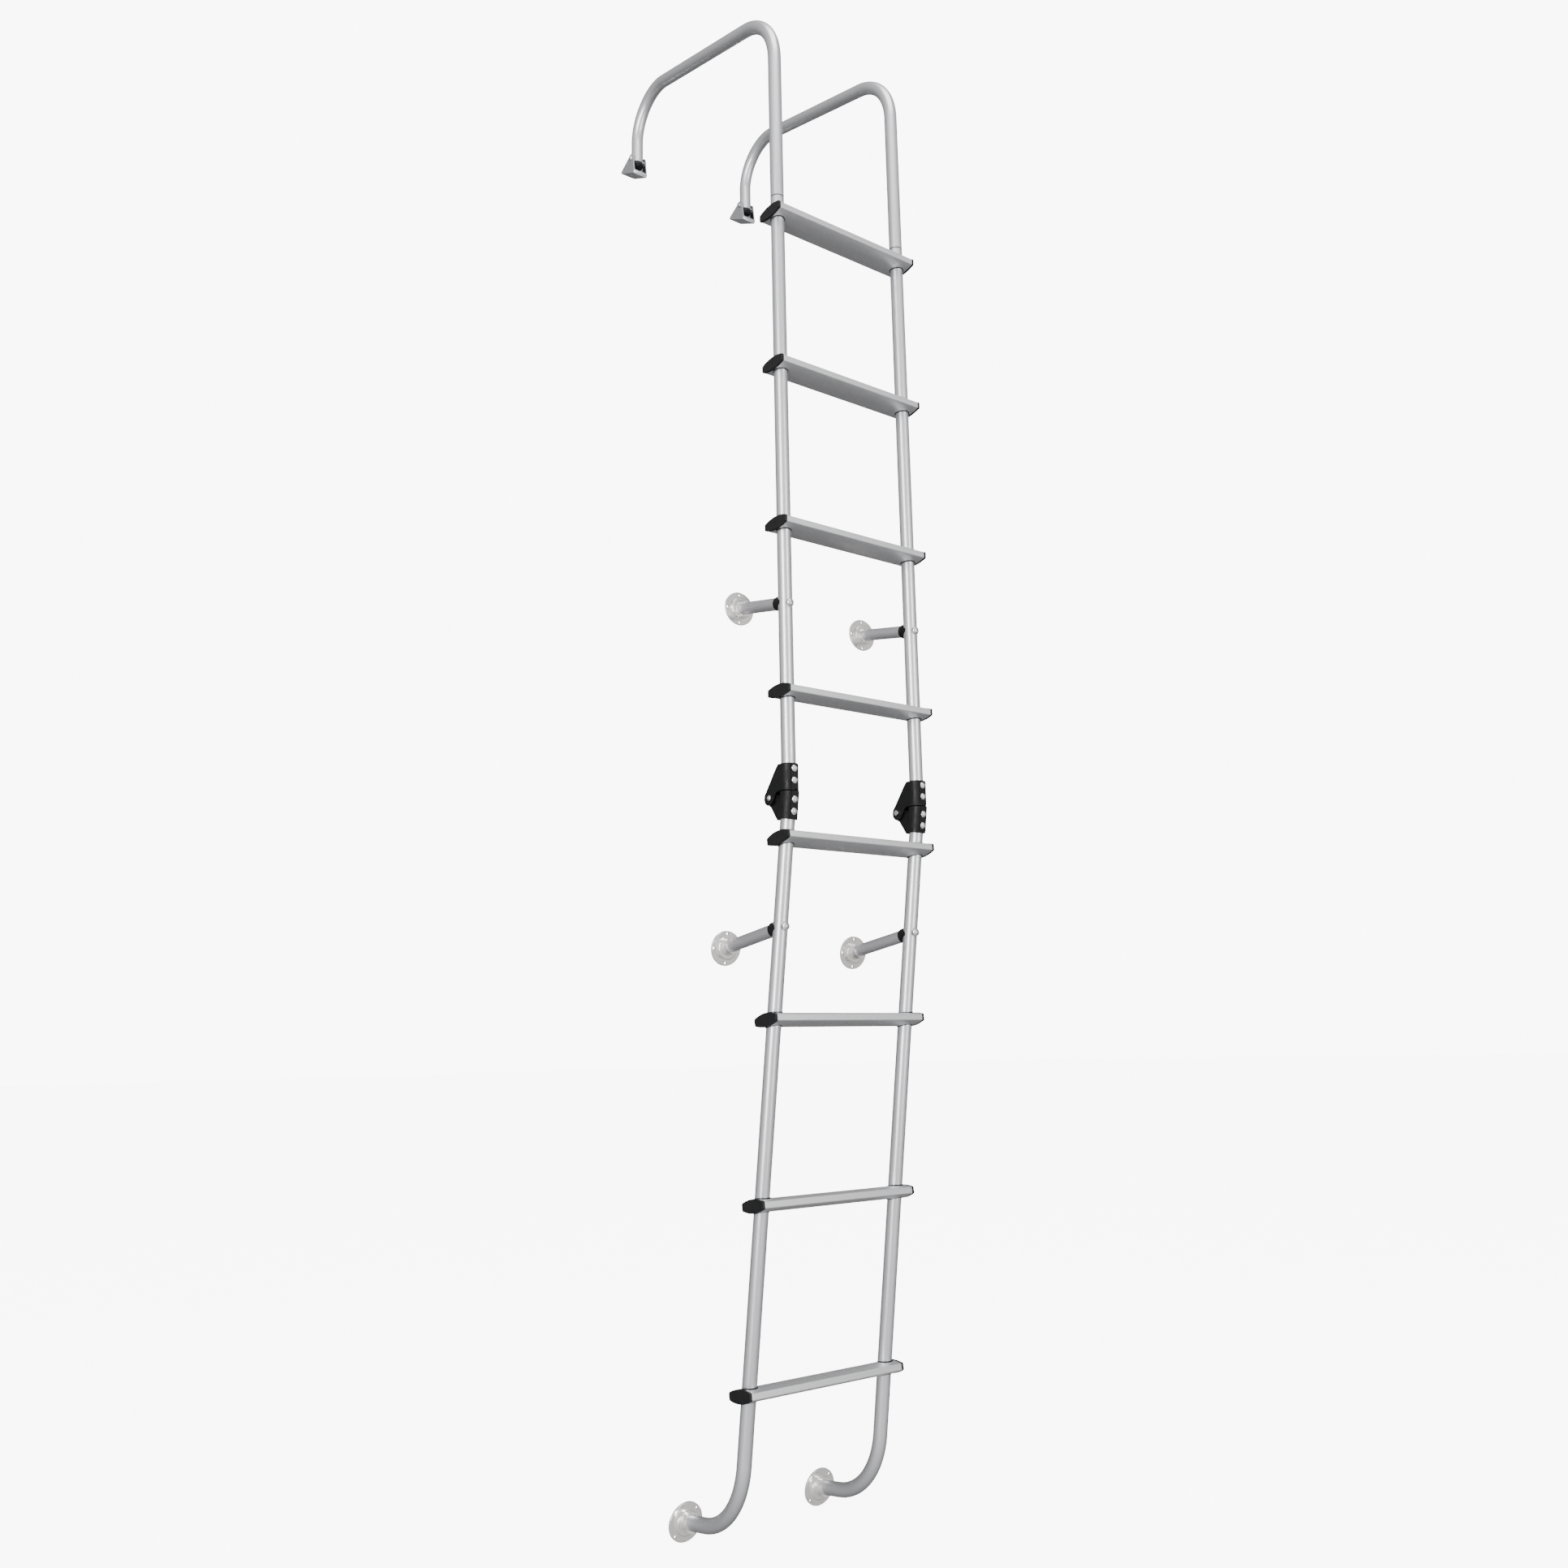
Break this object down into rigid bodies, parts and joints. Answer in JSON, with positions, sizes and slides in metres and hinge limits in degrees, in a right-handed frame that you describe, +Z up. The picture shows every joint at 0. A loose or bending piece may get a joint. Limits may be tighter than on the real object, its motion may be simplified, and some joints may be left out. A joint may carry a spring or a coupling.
{
  "type": "hinged exterior wall ladder",
  "caption": "Exterior wall ladder of round tube with capped treads, a bend hinge, wall standoffs, hooked tops with roof feet, and round bases.",
  "frame": {"origin": "centre of the upper left base's mounting face, on the wall", "axes": "+Z up along the upper rails, +Y into the wall, +X along the treads to the right as a climber faces the wall"},
  "size_m": [0.359, 0.5845, 2.9056],
  "materials": {
    "rail_aluminium": "satin anodised",
    "tread_aluminium": "satin mill finish",
    "standoff_aluminium": "satin",
    "black_plastic": "fine texture",
    "black_casting": "textured black coat",
    "stainless_base": "polished stainless steel",
    "zinc_steel": "zinc plated",
    "stainless_fastener": "bright stainless"
  },
  "bodies": {
    "upper_section": {"upper_left_rail": "rail_aluminium", "upper_right_rail": "rail_aluminium", "left_hook": "rail_aluminium", "right_hook": "rail_aluminium", "rail_splices": "rail_aluminium", "seam_rings": "black_plastic", "hook_plugs": "black_plastic", "step_1": "tread_aluminium", "step_2": "tread_aluminium", "step_3": "tread_aluminium", "step_4": "tread_aluminium", "step_1_caps": "black_plastic", "step_2_caps": "black_plastic", "step_3_caps": "black_plastic", "step_4_caps": "black_plastic", "upper_step_bushes": "black_plastic", "upper_left_bracket": "black_casting", "upper_right_bracket": "black_casting", "upper_bracket_screws": "stainless_fastener", "left_hinge_pin": "stainless_fastener", "right_hinge_pin": "stainless_fastener", "upper_left_standoff": "standoff_aluminium", "upper_right_standoff": "standoff_aluminium", "upper_saddles": "black_casting", "upper_standoff_bolts": "stainless_fastener", "upper_left_base": "stainless_base", "upper_right_base": "stainless_base"},
    "lower_section": {"lower_left_rail": "rail_aluminium", "lower_right_rail": "rail_aluminium", "step_5": "tread_aluminium", "step_6": "tread_aluminium", "step_7": "tread_aluminium", "step_8": "tread_aluminium", "step_5_caps": "black_plastic", "step_6_caps": "black_plastic", "step_7_caps": "black_plastic", "step_8_caps": "black_plastic", "lower_step_bushes": "black_plastic", "lower_left_bracket": "black_casting", "lower_right_bracket": "black_casting", "lower_bracket_screws": "stainless_fastener", "lower_left_standoff": "standoff_aluminium", "lower_right_standoff": "standoff_aluminium", "lower_saddles": "black_casting", "lower_standoff_bolts": "stainless_fastener", "lower_left_base": "stainless_base", "lower_right_base": "stainless_base", "bottom_left_base": "stainless_base", "bottom_right_base": "stainless_base"},
    "left_roof_foot": {"left_foot_bracket": "zinc_steel", "left_foot_bolt": "stainless_fastener", "left_foot_nut": "stainless_fastener"},
    "right_roof_foot": {"right_foot_bracket": "zinc_steel", "right_foot_bolt": "stainless_fastener", "right_foot_nut": "stainless_fastener"}
  },
  "joints": [
    {"name": "bend_hinge", "type": "hinge", "parent": "upper_section", "child": "lower_section", "pos_m": [0.146, -0.106, -0.37089], "axis": [1, 0, 0], "range_deg": [-2, 100]},
    {"name": "left_foot_pivot", "type": "hinge", "parent": "upper_section", "child": "left_roof_foot", "pos_m": [0, 0.3695, 1.1423], "axis": [1, 0, 0], "range_deg": [-80, 30]},
    {"name": "right_foot_pivot", "type": "hinge", "parent": "upper_section", "child": "right_roof_foot", "pos_m": [0.292, 0.3695, 1.1423], "axis": [1, 0, 0], "range_deg": [-80, 30]}
  ]
}
